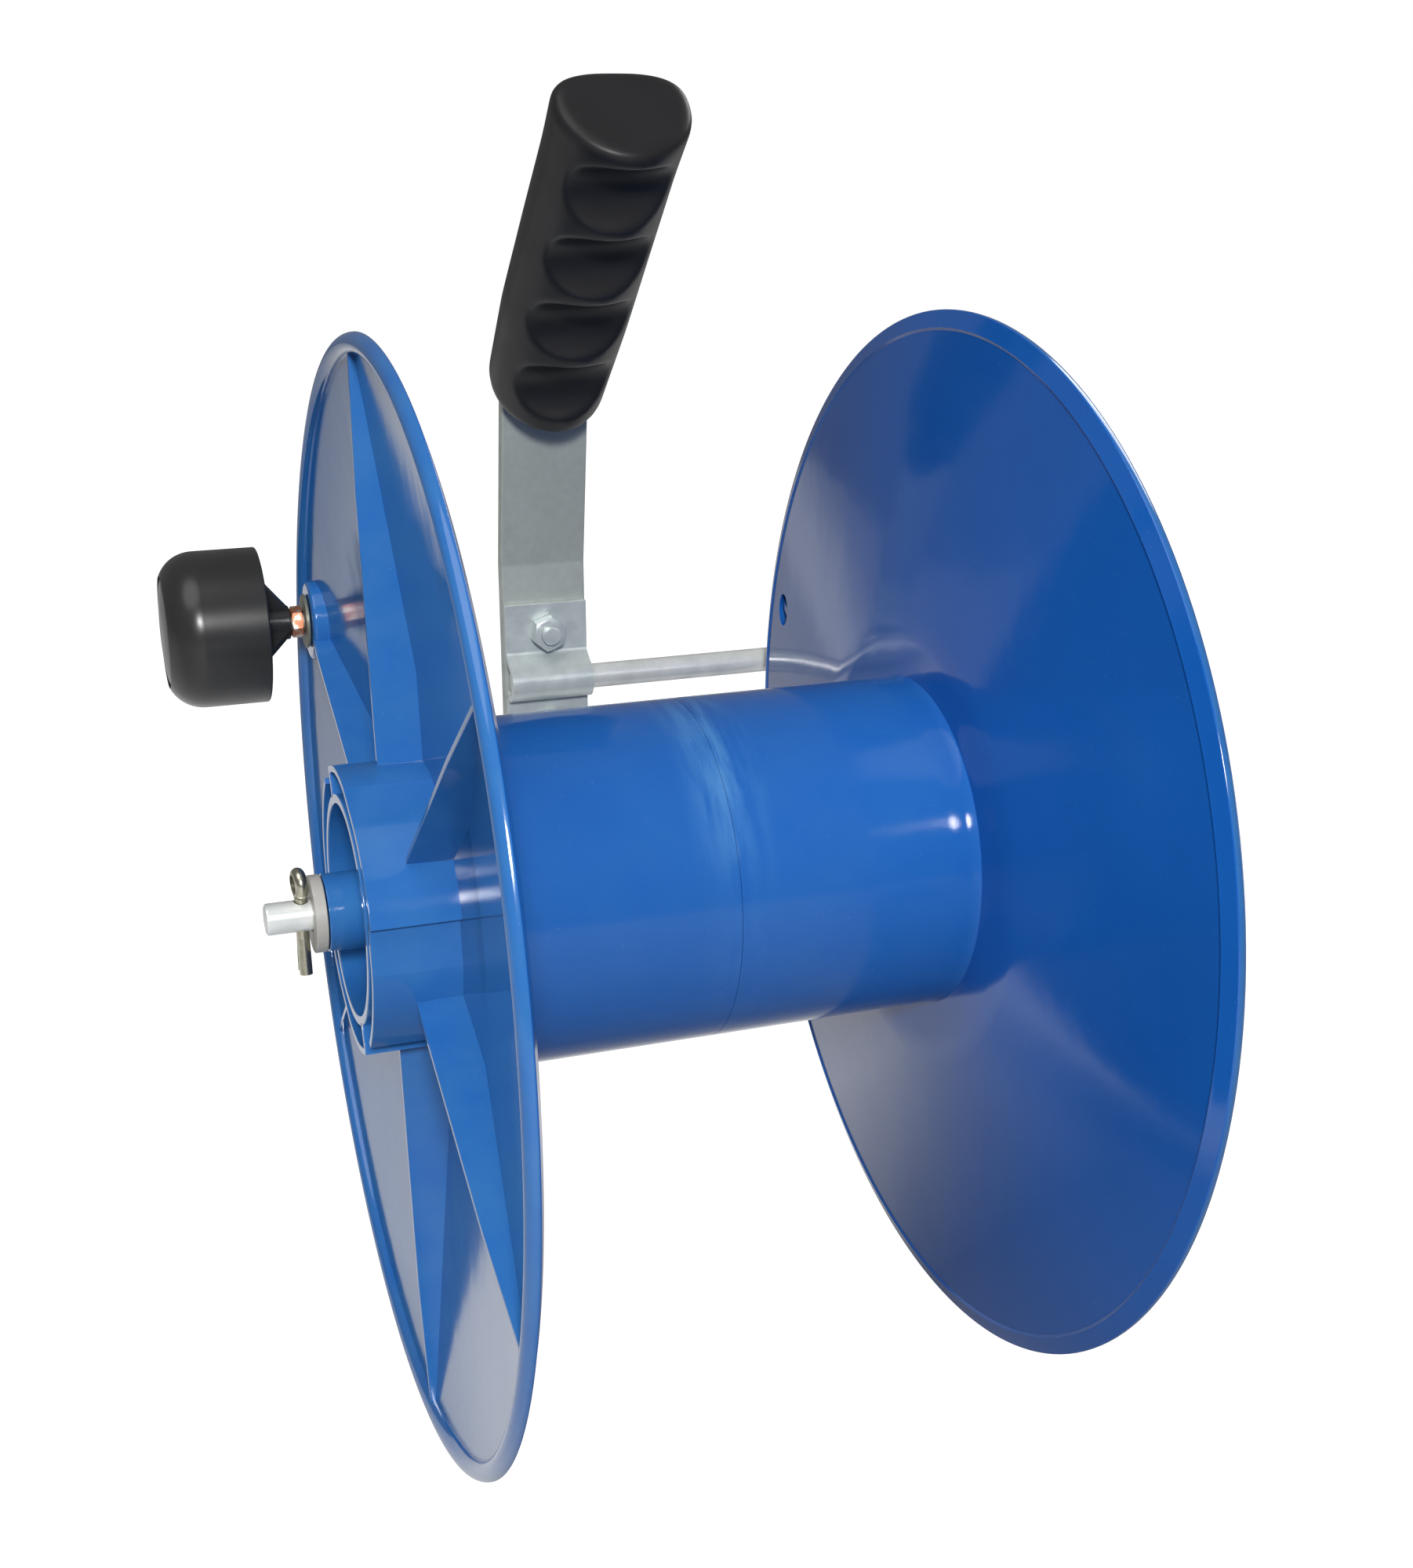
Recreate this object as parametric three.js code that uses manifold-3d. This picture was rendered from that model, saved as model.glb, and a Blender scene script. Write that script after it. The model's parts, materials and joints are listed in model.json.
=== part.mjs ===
// A hand-cranked line reel. Two plastic mouldings make an open spool that turns on the axle end
// of one bent steel rod. A flat strap, clamped to the rod's other end, carries the hand grip,
// and a loose knob on the crank-side flange turns the spool.
// Millimetres, +Z up. The axle runs along X and the origin is the centre of its free end face.

import * as THREE from 'three';
import { mergeVertices } from 'three/addons/utils/BufferGeometryUtils.js';
import Module from 'manifold-3d';

const wasm = await Module();
wasm.setup();

// Driving dimensions. Heights h on the spool are measured along the axle from the seam.

const gap = 0.3; // clearance between pieces that touch, turn or fit
const round = 60; // facets round a flange
const fine = 24; // facets round a small turned piece

const drumRadius = 44.4;
const drumWall = 3;
const drumFillet = 3;
const drumHalfLength = 64; // seam to the winding face of a flange
const webThickness = 3;
const coneStart = 58; // radius where a flange begins to lean outwards
const coneRise = 9.2; // how far it leans out by its rim
const flangeRadius = 140;
const rimWeb = 1.5; // a flange's thickness where its lip starts
const rimEdge = 0.3;
const lipRadius = 2.6; // half-round lip, on the outer side only

const ribCount = 6;
const ribThickness = 2.2;
const ribSetback = 0.5; // the ribs' free edge lies this far inside the lip's outer plane
const ribBreakInset = 38; // flange's edge to where the ribs' edge starts down to the rim

const hubProud = 9.8; // the hub's end stands this far outside the lip
const hubTipRadius = 36.2;
const hubStep = 0.8;
const hubCreaseRadius = 33;
const hubCreaseTurn = 21; // degrees from a tip to its crease
const hubToothCount = 4;
const hubToothPhase = 53.5; // degrees from the knob's boss to the first tip
const hubInnerRadius = 30.8;
const ringRadius = 29;
const ringWall = 2.4;
const bearingRadius = 9.7;
const bearingProud = 5.6; // the bearing tube stands this far outside the hub
const bearingInside = 24; // and reaches this far into the drum

const tabCount = 3;
const tabTurn = 36; // degrees covered by one locating tab
const tabThickness = 2.8;
const tabReach = 8; // how far a tab reaches past the seam, and back along its own wall

const axleRadius = 4;
const washerThickness = 3;
const pinRadius = 1.6;
const pinSlack = 0.6; // end play between a split pin and its washer
const pinEyeRadius = 3.2;
const pinWireRadius = 0.9;
const pinLegLength = 10.6; // below the axle
const pinSpread = 9; // degrees each leg is bent out
const axleBeyondPin = 9;
const armStraight = 4; // straight rod between the frame-side pin and the bend
const bendRadius = 17;
const rodClearance = 6; // flange's edge to the return run of the rod
const frameTilt = 3.9; // degrees the return run lies above the axle

const strapWidth = 27.6;
const strapThickness = 5;
const strapCentre = 4; // from the seam, towards the frame side
const strapTail = 30; // strap below the rod
const strapUpright = 38; // strap above the rod, up to the lean
const strapLean = 9; // degrees
const strapLeanLength = 55.5;
const strapBend = 12;
const gripSlope = 46; // degrees from the vertical
const gripNeck = 3.7; // last bend to the grip's lower end
const gripLength = 121;
const gripEndRound = 3;
const gripFacets = 40;
const fingerPower = 1.92; // superellipse powers of the section's two halves
const backPower = 2.82;
// Share of the grip's length, half width, depth to the fingers' side, depth to the back
const gripSections = [
  [0, 17.7, 18.6, 14.9],
  [0.3, 18.9, 17, 15.2],
  [0.6, 18.6, 17.6, 14.5],
  [0.85, 18.4, 18.2, 12.9],
  [1, 18.9, 18.6, 11.9],
];
const tangLength = 102;
const rodEndInset = 1.2; // the rod stops this far inside the strap's edge

const scoopCount = 4;
const scoopPitch = 27.9;
const firstScoop = 17.4; // grip's upper end to the middle of the first finger scoop
const scoopHalfLength = 12;
const scoopDepth = 7.6;

const sheet = 2;
const clampWidth = 27;
const clampFlange = 25; // rod's axis to either end of the clamp
const clampBoltOffset = 15.8; // rod's axis to either bolt
const clampShoulder = 8; // rod's axis to where the sheet leaves the strap, on the upper side
const clampCrown = 110; // degrees round the rod where its slanted flank meets the round crown
const clampBolt = { radius: 3, flats: 10, head: 4, nut: 5, proud: 2.4 };

const smallBolt = { radius: 2.5, flats: 8, head: 3.5, nut: 3.5, proud: 2 };
const tieOrbit = 18;
const tieCount = 3;

const knobAngle = 22; // degrees above +Y, seen along the axle
const twinAngle = 17; // the unused boss of the frame-side moulding
const knobInset = 18; // flange's edge to the knob's axis
const bossRadius = 11.5;
const bossStand = 3.3; // boss face above the flange's outer face
const pocketRadius = 5;
const smallWasherRadius = 7.8;
const smallWasherThickness = 1;

const knobRadius = 22.5;
const knobNeck = 8; // neck's end to the knob's rim
const knobLength = 28.4; // rim to end face
const knobWall = 2.5;
const knobNeckRadius = 4.9;
const knobNeckRoot = 6.4;
const knobEndRound = 10.5;
const knobWeb = 3;
const knobWellDepth = 10.6; // end face down to the web that takes the lock nut
const knobCapRadius = 16;
const knobCapThickness = 2.6;
const knobCapDome = 0.9;
const gussetThickness = 1.8;
const gussetCount = 4;
const gussetRimDepth = 4.4; // where a gusset's edge meets the wall, below the rim

// Sizes that follow

const degrees = Math.PI / 180;
const discFace = drumHalfLength + webThickness;
const lipOrbit = flangeRadius - lipRadius;
const coneEnd = lipOrbit - lipRadius; // radius where the lip starts
const rimHeight = discFace + coneRise;
const ribPlane = rimHeight + lipRadius - ribSetback;
const hubEnd = rimHeight + lipRadius + hubProud;
const bearingEnd = hubEnd + bearingProud;
const boreRadius = axleRadius + gap;
const washerFace = bearingEnd + gap;
const pinHeight = washerFace + washerThickness + pinSlack / 2 + gap + pinRadius;
const axleEnd = pinHeight + axleBeyondPin;
const armHeight = pinHeight + armStraight + bendRadius;
const ribBreakRadius = flangeRadius - ribBreakInset;
const knobOrbit = flangeRadius - knobInset;
const clock = (knobAngle - twinAngle) / 2;
const drumInside = drumRadius - drumWall;
const bossFace = outerFaceAt(knobOrbit) + bossStand;
const nutFace = bossFace + gap + smallWasherThickness + gap;
const neckEnd = nutFace + smallBolt.nut + gap;
const knobRim = neckEnd + knobNeck;
const knobEnd = knobRim + knobLength;
const wellFloor = knobEnd - knobWellDepth;
const lockNutFace = wellFloor + gap + smallWasherThickness + gap;
const pocketFloor = windingFaceAt(knobOrbit) + smallBolt.head + gap;
const frameReach = flangeRadius + rodClearance + axleRadius;
const rodY = frameReach * Math.cos(frameTilt * degrees);
const rodZ = frameReach * Math.sin(frameTilt * degrees);
const strapFace = rodY + axleRadius + gap;

const looks = {
  spool: { color: 0x1257b0, roughness: 0.22, metalness: 0 },
  galvanised: { color: 0xa3a6a1, roughness: 0.5, metalness: 0.9 },
  zinc: { color: 0xbcc4c8, roughness: 0.32, metalness: 0.9 },
  yellowZinc: { color: 0xb8b27a, roughness: 0.35, metalness: 0.9 },
  copper: { color: 0xb0643c, roughness: 0.35, metalness: 0.9 },
  nylon: { color: 0xd8d8d2, roughness: 0.5, metalness: 0 },
  grip: { color: 0x1c1d1f, roughness: 0.4, metalness: 0 },
  knob: { color: 0x26282a, roughness: 0.3, metalness: 0 },
};

// Height of a flange's outer face at radius r.
function outerFaceAt(r) {
  return discFace + coneRise * Math.max(0, (r - coneStart) / (coneEnd - coneStart));
}

// Height of a flange's winding face at radius r.
function windingFaceAt(r) {
  const rise = coneRise + webThickness - rimWeb;
  return drumHalfLength + rise * Math.max(0, (r - coneStart) / (coneEnd - coneStart));
}

// A closed geometry as a solid that can be joined and cut.
function solid(geometry) {
  const bare = geometry.clone();
  bare.deleteAttribute('normal');
  bare.deleteAttribute('uv');
  const merged = mergeVertices(bare, 1e-4);
  const index = merged.index.array;
  const triangles = [];
  for (let i = 0; i < index.length; i += 3) {
    const [a, b, c] = index.slice(i, i + 3);
    if (a !== b && b !== c && c !== a) triangles.push(a, b, c);
  }
  const mesh = new wasm.Mesh({
    numProp: 3,
    vertProperties: new Float32Array(merged.attributes.position.array),
    triVerts: new Uint32Array(triangles),
  });
  return new wasm.Manifold(mesh);
}

// The solid's surface as a geometry.
function surface(body) {
  const { vertProperties, triVerts } = body.getMesh();
  const geometry = new THREE.BufferGeometry();
  geometry.setAttribute('position', new THREE.BufferAttribute(vertProperties, 3));
  geometry.setIndex(new THREE.BufferAttribute(triVerts, 1));
  geometry.computeVertexNormals();
  return geometry;
}

// A profile of [radius, height] points, listed anticlockwise, turned about Z.
function turned(profile, facets = fine) {
  const points = profile.map(([r, h]) => new THREE.Vector2(r, h));
  points.push(points[0].clone());
  return new THREE.LatheGeometry(points, facets).rotateX(Math.PI / 2);
}

// An outline in XY carried up Z from one height to another.
function prism(outline, from, to, curveSegments = 12) {
  const shape = Array.isArray(outline)
    ? new THREE.Shape(outline.map(([x, y]) => new THREE.Vector2(x, y)))
    : outline;
  const options = { depth: to - from, bevelEnabled: false, curveSegments };
  return new THREE.ExtrudeGeometry(shape, options).translate(0, 0, from);
}

// A round bar along Z from one height to another.
function bar(radius, from, to, facets = fine) {
  return new THREE.CylinderGeometry(radius, radius, to - from, facets)
    .rotateX(Math.PI / 2)
    .translate(0, 0, (from + to) / 2);
}

// A hexagonal bar along Z.
function hexBar(flats, from, to) {
  return bar(flats / Math.sqrt(3), from, to, 6);
}

// Points of an arc about a centre, in degrees, both ends included.
function arc([x, y], radius, from, to, steps) {
  return Array.from({ length: steps + 1 }, (_, i) => {
    const angle = (from + ((to - from) * i) / steps) * degrees;
    return [x + radius * Math.cos(angle), y + radius * Math.sin(angle)];
  });
}

// A line through corners, with each inner corner rounded, stepped only where it turns.
class BentPath extends THREE.Curve {
  constructor(corners, radius, steps) {
    super();
    this.stations = [];
    const last = corners.length - 1;
    const heading = (i) => corners[i + 1].clone().sub(corners[i]).normalize();
    this.add(corners[0], heading(0));
    for (let i = 1; i < last; i++) {
      const into = heading(i - 1);
      const out = heading(i);
      const turn = into.angleTo(out);
      const inward = out.clone().sub(into).normalize();
      const centre = corners[i].clone().addScaledVector(inward, radius / Math.cos(turn / 2));
      const axis = into.clone().cross(out).normalize();
      const spoke = inward.clone().applyAxisAngle(axis, -turn / 2).multiplyScalar(-radius);
      for (let k = 0; k <= steps; k++) {
        const angle = (turn * k) / steps;
        const point = centre.clone().add(spoke.clone().applyAxisAngle(axis, angle));
        this.add(point, into.clone().applyAxisAngle(axis, angle));
      }
    }
    this.add(corners[last], heading(last - 1));
  }

  add(point, tangent) {
    this.stations.push({ point, tangent });
  }

  at(u) {
    return this.stations[Math.round(u * (this.stations.length - 1))];
  }

  getPointAt(u) {
    return this.at(u).point.clone();
  }

  getTangentAt(u) {
    return this.at(u).tangent.clone();
  }
}

// A section carried along a bent path.
function swept(section, path) {
  const options = { steps: path.stations.length - 1, extrudePath: path, curveSegments: 8 };
  return new THREE.ExtrudeGeometry(section, options);
}

function circle(radius) {
  return new THREE.Shape().absarc(0, 0, radius, 0, 2 * Math.PI);
}

// A bar of flat stock seen from its edge: an outline of even thickness about a bent line.
function flatStock(corners, thickness, radius) {
  const path = new BentPath(corners.map(([x, y]) => new THREE.Vector3(x, y, 0)), radius, 5);
  const side = (sign) => path.stations.map(({ point, tangent }) => [
    point.x - (sign * tangent.y * thickness) / 2,
    point.y + (sign * tangent.x * thickness) / 2,
  ]);
  return [...side(1), ...side(-1).reverse()];
}

function piece(name, shape, look) {
  const geometry = shape.isBufferGeometry ? shape : surface(shape);
  const mesh = new THREE.Mesh(geometry, new THREE.MeshStandardMaterial(look));
  mesh.name = name;
  return mesh;
}

// The same piece set down at a place in its own side's frame.
function placed(mesh, x, y, z) {
  mesh.position.set(x, y, z);
  return mesh;
}

// Fasteners, along Z. A bolt's seat is at z = 0, its head below and its shank above.

function bolt({ radius, flats, head }, length) {
  return solid(hexBar(flats, -head, 0)).add(solid(bar(radius, -head / 2, length, 16)));
}

function nut({ radius, flats }, height) {
  const bore = solid(bar(radius + gap, -1, height + 1, 16));
  return solid(hexBar(flats, 0, height)).subtract(bore);
}

function washer(outer, inner, thickness) {
  return turned([[inner, 0], [outer, 0], [outer, thickness], [inner, thickness]]);
}

// The spool's two mouldings are alike. Each is made with its knob boss at angle 0.

function flangeAndDrum() {
  const profile = [
    [boreRadius, drumHalfLength - bearingInside],
    [bearingRadius, drumHalfLength - bearingInside],
    [bearingRadius, drumHalfLength],
    [drumInside, drumHalfLength],
    [drumInside, gap / 2],
    [drumRadius, gap / 2],
    ...arc([drumRadius + drumFillet, drumHalfLength - drumFillet], drumFillet, 180, 90, 3),
    [coneStart, drumHalfLength],
    [coneEnd, rimHeight - rimWeb],
    [flangeRadius - rimEdge, rimHeight - rimEdge],
    ...arc([lipOrbit, rimHeight], lipRadius, 0, 180, 5),
    [coneStart, discFace],
    [bearingRadius, discFace],
    [bearingRadius, bearingEnd],
    [boreRadius, bearingEnd],
  ];
  return solid(turned(profile, round));
}

// The hub's outer wall swells from a crease to a tip, four times round.
function hubOutline() {
  const pitch = 360 / hubToothCount;
  const shape = new THREE.Shape();
  for (let tooth = 0; tooth < hubToothCount; tooth++) {
    const tip = -hubToothPhase - tooth * pitch;
    const radii = [hubTipRadius, hubTipRadius - hubStep];
    const turns = [0, 0.4];
    for (let k = 0; k <= 8; k++) {
      radii.push(hubCreaseRadius + ((hubTipRadius - hubCreaseRadius) * k) / 9);
      turns.push(hubCreaseTurn + ((pitch - hubCreaseTurn) * k) / 9);
    }
    radii.forEach((r, k) => {
      const angle = (tip - turns[k]) * degrees;
      const point = [r * Math.cos(angle), r * Math.sin(angle)];
      if (tooth === 0 && k === 0) shape.moveTo(...point);
      else shape.lineTo(...point);
    });
  }
  shape.closePath();
  return shape;
}

function hub() {
  const root = discFace - webThickness / 3;
  const outer = solid(prism(hubOutline(), root, hubEnd));
  const hollow = solid(bar(hubInnerRadius, root - 1, hubEnd + 1, 40));
  const inner = ringRadius - ringWall;
  const ring = [[inner, root], [ringRadius, root], [ringRadius, hubEnd], [inner, hubEnd]];
  return outer.subtract(hollow).add(solid(turned(ring, 40)));
}

// A thin blade on the outer face, from inside the hub's wall to inside the rim's lip.
function rib(index) {
  const inner = (hubInnerRadius + hubCreaseRadius) / 2;
  const sink = webThickness / 3;
  const outline = [
    [inner, discFace - sink],
    [coneStart, discFace - sink],
    [coneEnd, rimHeight - rimWeb / 2],
    [lipOrbit, rimHeight],
    [lipOrbit - lipRadius / 2, rimHeight + lipRadius / 2],
    [ribBreakRadius, ribPlane],
    [inner, ribPlane],
  ];
  const blade = prism(outline, -ribThickness / 2, ribThickness / 2).rotateX(Math.PI / 2);
  return solid(blade.rotateZ((index * 2 * Math.PI) / ribCount));
}

function boss() {
  const foot = windingFaceAt(knobOrbit - bossRadius);
  const blank = solid(bar(bossRadius, foot, bossFace, 36).translate(knobOrbit, 0, 0));
  const windingSide = turned([
    [coneStart, foot - 1],
    [coneEnd, foot - 1],
    [coneEnd, windingFaceAt(coneEnd)],
    [coneStart, windingFaceAt(coneStart)],
  ], round);
  return blank.subtract(solid(windingSide));
}

// A tongue on the inside of the drum's wall that reaches into the other moulding.
function tab(index) {
  const inner = drumInside - gap - tabThickness;
  const middle = clock + 30 + (index * 360) / tabCount;
  const sector = (outer) => [
    ...arc([0, 0], outer, middle - tabTurn / 2, middle + tabTurn / 2, 6),
    ...arc([0, 0], inner, middle + tabTurn / 2, middle - tabTurn / 2, 6),
  ];
  const reach = solid(prism(sector(drumInside - gap), -tabReach, tabReach));
  return reach.add(solid(prism(sector(drumInside + drumWall / 2), gap, tabReach)));
}

// Where tie bolt number `index` stands, as an angle on the moulding.
function tieAngle(index) {
  return clock + 60 + (index * 360) / tieCount;
}

function polar(radius, angle) {
  return [radius * Math.cos(angle * degrees), radius * Math.sin(angle * degrees)];
}

function spoolHalf() {
  let half = flangeAndDrum().add(hub()).add(boss());
  for (let i = 0; i < ribCount; i++) half = half.add(rib(i));
  for (let i = 0; i < tabCount; i++) half = half.add(tab(i));
  const hole = bar(smallBolt.radius + gap, 0, bossFace + 1, 16);
  const pocket = bar(pocketRadius, 0, pocketFloor);
  half = half.subtract(solid(hole.clone().translate(knobOrbit, 0, 0)));
  half = half.subtract(solid(pocket.translate(knobOrbit, 0, 0)));
  for (let i = 0; i < tieCount; i++) {
    half = half.subtract(solid(hole.clone().translate(...polar(tieOrbit, tieAngle(i)), 0)));
  }
  return half;
}

// Knob, made with its neck's end at z = 0.

function knobBody() {
  const rim = knobRim - neckEnd;
  const end = knobEnd - neckEnd;
  const floor = wellFloor - neckEnd;
  const inside = knobRadius - knobWall;
  const bore = smallBolt.radius + gap;
  const seat = knobCapRadius + gap;
  const ledge = end - knobCapThickness - gap;
  const cut = Math.acos((seat - (knobRadius - knobEndRound)) / knobEndRound) / degrees;
  const profile = [
    [bore, 0],
    [knobNeckRadius, 0],
    [knobNeckRoot, floor - knobWeb],
    [inside, floor - knobWeb],
    [inside, rim],
    [knobRadius - gap, rim],
    [knobRadius, rim + gap],
    ...arc([knobRadius - knobEndRound, end - knobEndRound], knobEndRound, 0, cut, 6),
    [seat, ledge],
    [seat - knobWall, ledge],
    [seat - knobWall, ledge - knobWall / 2],
    [inside, floor + knobWall],
    [inside, floor],
    [bore, floor],
  ];
  const gussetEdge = [
    [(bore + knobNeckRadius) / 2, gap],
    [knobNeckRadius, gap],
    [inside + knobWall / 2, rim + gussetRimDepth],
    [inside + knobWall / 2, floor - knobWeb / 2],
    [(bore + knobNeckRadius) / 2, floor - knobWeb / 2],
  ];
  let body = solid(turned(profile, 30));
  for (let i = 0; i < gussetCount; i++) {
    const fin = prism(gussetEdge, -gussetThickness / 2, gussetThickness / 2);
    fin.rotateX(Math.PI / 2).rotateZ((i * 2 * Math.PI) / gussetCount);
    body = body.add(solid(fin));
  }
  return body;
}

function knobEndCap() {
  return turned([
    [0, 0],
    [knobCapRadius, 0],
    [knobCapRadius, knobCapThickness - 2 * knobCapDome],
    [knobCapRadius * 0.9, knobCapThickness - knobCapDome],
    [knobCapRadius * 0.5, knobCapThickness - knobCapDome * 0.2],
    [0, knobCapThickness],
  ], 30);
}

// Frame: one rod makes the axle, the side arm and the run that the strap is clamped to.

function frameRod() {
  const corners = [
    new THREE.Vector3(-axleEnd, 0, 0),
    new THREE.Vector3(armHeight, 0, 0),
    new THREE.Vector3(armHeight, rodY, rodZ),
    new THREE.Vector3(strapCentre - strapWidth / 2 + rodEndInset, rodY, rodZ),
  ];
  let rod = solid(swept(circle(axleRadius), new BentPath(corners, bendRadius, 6)));
  for (const x of [-pinHeight, pinHeight]) {
    const hole = bar(pinRadius + gap, -2 * axleRadius, 2 * axleRadius, 16);
    rod = rod.subtract(solid(hole.translate(x, 0, 0)));
  }
  return rod;
}

// A split pin through the axle, its eye up and its two legs bent out below.
function splitPin() {
  const eyeHeight = axleRadius + gap + pinEyeRadius + pinWireRadius;
  const split = -axleRadius - pinRadius;
  const eye = new THREE.TorusGeometry(pinEyeRadius, pinWireRadius, 8, 16).rotateY(Math.PI / 2);
  let pin = solid(eye.translate(0, 0, eyeHeight));
  pin = pin.add(solid(bar(pinRadius, split, eyeHeight - pinEyeRadius, 16)));
  const half = arc([0, 0], pinRadius, -90, 90, 6);
  for (const sign of [-1, 1]) {
    const leg = prism(half, 0, pinLegLength).rotateX(Math.PI).rotateZ(sign * Math.PI / 2);
    leg.rotateX(sign * pinSpread * degrees).translate(0, 0, split + pinRadius / 2);
    pin = pin.add(solid(leg));
  }
  return pin;
}

// Strap and clamp are drawn from their edge: x is the object's Y, y its Z and z its X.

function strapCorners() {
  const middle = strapFace + strapThickness / 2;
  const lean = strapLean * degrees;
  const slope = gripSlope * degrees;
  const knee = [middle, rodZ + strapUpright];
  const neck = [knee[0] - strapLeanLength * Math.sin(lean), knee[1] + strapLeanLength * Math.cos(lean)];
  const reach = gripNeck + tangLength;
  const end = [neck[0] - reach * Math.sin(slope), neck[1] + reach * Math.cos(slope)];
  return [[middle, rodZ - strapTail], knee, neck, end];
}

function boltHole(height) {
  const hole = bar(clampBolt.radius + gap, -rodY, rodY, 16).rotateY(Math.PI / 2);
  return solid(hole.translate(rodY, height, 0));
}

function handleStrap() {
  const outline = flatStock(strapCorners(), strapThickness, strapBend);
  let strap = solid(prism(outline, -strapWidth / 2, strapWidth / 2));
  for (const side of [-1, 1]) strap = strap.subtract(boltHole(rodZ + side * clampBoltOffset));
  return strap;
}

// A saddle of bent sheet: flat against the strap above and below, round over the rod between.
function rodClamp() {
  const back = strapFace - gap;
  const front = back - sheet;
  const inner = axleRadius + gap;
  const outer = inner + sheet;
  const openAt = (radius, plane) => Math.acos((plane - rodY) / radius) / degrees;
  const outline = [
    [back, rodZ - clampFlange],
    ...arc([rodY, rodZ], inner, 360 - openAt(inner, back), openAt(inner, back), 10),
    [back, rodZ + clampFlange],
    [front, rodZ + clampFlange],
    [front, rodZ + clampShoulder],
    ...arc([rodY, rodZ], outer, clampCrown, 360 - openAt(outer, front), 10),
    [front, rodZ - clampFlange],
  ];
  let clamp = solid(prism(outline, -clampWidth / 2, clampWidth / 2));
  for (const side of [-1, 1]) clamp = clamp.subtract(boltHole(rodZ + side * clampBoltOffset));
  return clamp;
}

// Grip, along Z from its lower end, with the fingers' side towards -Y.

// Half width, depth to the fingers' side and depth to the back at a height up the grip.
function gripSectionAt(height) {
  const share = height / gripLength;
  const next = Math.max(1, gripSections.findIndex(([end]) => end >= share));
  const [from, ...lower] = gripSections[next - 1];
  const [to, ...upper] = gripSections[next];
  return lower.map((value, i) => THREE.MathUtils.mapLinear(share, from, to, value, upper[i]));
}

// The grip's outline at a height, drawn in from its full size by an inset.
function gripRing(height, inset) {
  const [width, fingers, back] = gripSectionAt(height).map((size) => size - inset);
  return Array.from({ length: gripFacets }, (_, i) => {
    const angle = (i * 2 * Math.PI) / gripFacets;
    const [c, s] = [Math.cos(angle), Math.sin(angle)];
    const power = 2 / (s > 0 ? backPower : fingerPower);
    const depth = s > 0 ? back : fingers;
    const x = Math.sign(c) * width * Math.abs(c) ** power;
    return [x, Math.sign(s) * depth * Math.abs(s) ** power, height];
  });
}

// A closed skin over rings of points, each listed anticlockwise, from the lowest up.
function lofted(rings) {
  const count = rings[0].length;
  const last = (rings.length - 1) * count;
  const index = [];
  for (let start = 0; start < last; start += count) {
    for (let k = 0; k < count; k++) {
      const [a, b] = [start + k, start + ((k + 1) % count)];
      index.push(a, b, b + count, a, b + count, a + count);
    }
  }
  for (let k = 1; k + 1 < count; k++) {
    index.push(0, k + 1, k, last, last + k, last + k + 1);
  }
  const geometry = new THREE.BufferGeometry();
  geometry.setAttribute('position', new THREE.Float32BufferAttribute(rings.flat(2), 3));
  geometry.setIndex(index);
  return geometry;
}

// The grip is a lofted bar with quarter-round ends, slotted for the strap.
function handGrip() {
  const turns = [0, 30, 60, 90];
  const rise = (turn) => gripEndRound * (1 - Math.cos(turn * degrees));
  const inset = (turn) => gripEndRound * (1 - Math.sin(turn * degrees));
  const lower = turns.map((turn) => gripRing(rise(turn), inset(turn)));
  const middle = gripSections.slice(1, -1).map(([share]) => gripRing(share * gripLength, 0));
  const upper = turns.map((turn) => gripRing(gripLength - rise(turn), inset(turn))).reverse();
  const slotLength = tangLength + gap;
  const slot = new THREE.BoxGeometry(strapWidth + 2 * gap, strapThickness + 2 * gap, 2 * slotLength);
  let grip = solid(lofted([...lower, ...middle, ...upper])).subtract(solid(slot));
  for (let scoop = 0; scoop < scoopCount; scoop++) grip = grip.subtract(fingerScoop(scoop));
  return grip;
}

// A round scoop across the fingers' side.
function fingerScoop(scoop) {
  const height = gripLength - firstScoop - scoop * scoopPitch;
  const [width, fingers] = gripSectionAt(height);
  const radius = (scoopHalfLength ** 2 + scoopDepth ** 2) / (2 * scoopDepth);
  const cutter = bar(radius, -2 * width, 2 * width, 2 * fine).rotateY(Math.PI / 2);
  return solid(cutter.translate(0, scoopDepth - fingers - radius, height));
}

// Assembly. Each side group has its Z outwards along the axle and its X along the object's Y.

function sideGroup(sign) {
  const x = new THREE.Vector3(0, 1, 0);
  const y = new THREE.Vector3(0, 0, sign);
  const z = new THREE.Vector3(sign, 0, 0);
  const group = new THREE.Group();
  group.setRotationFromMatrix(new THREE.Matrix4().makeBasis(x, y, z));
  return group;
}

function spoolPieces() {
  const crank = sideGroup(-1);
  const frame = sideGroup(1);
  const half = spoolHalf();
  const crankHalf = piece('spool_half_crank', half, looks.spool);
  crankHalf.rotation.z = -knobAngle * degrees;
  const frameHalf = piece('spool_half_frame', half, looks.spool);
  frameHalf.rotation.z = twinAngle * degrees;
  crank.add(crankHalf);
  frame.add(frameHalf);
  const tieLength = 2 * (discFace + gap) + gap + smallBolt.nut + smallBolt.proud;
  for (let i = 0; i < tieCount; i++) {
    const place = polar(tieOrbit, tieAngle(i) + twinAngle);
    const tieBolt = bolt(smallBolt, tieLength);
    const tieNut = nut(smallBolt, smallBolt.nut);
    frame.add(placed(piece(`tie_bolt_${i + 1}`, tieBolt, looks.zinc), ...place, -discFace - gap));
    frame.add(placed(piece(`tie_nut_${i + 1}`, tieNut, looks.zinc), ...place, discFace + gap));
  }
  return [crank, frame];
}

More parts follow.
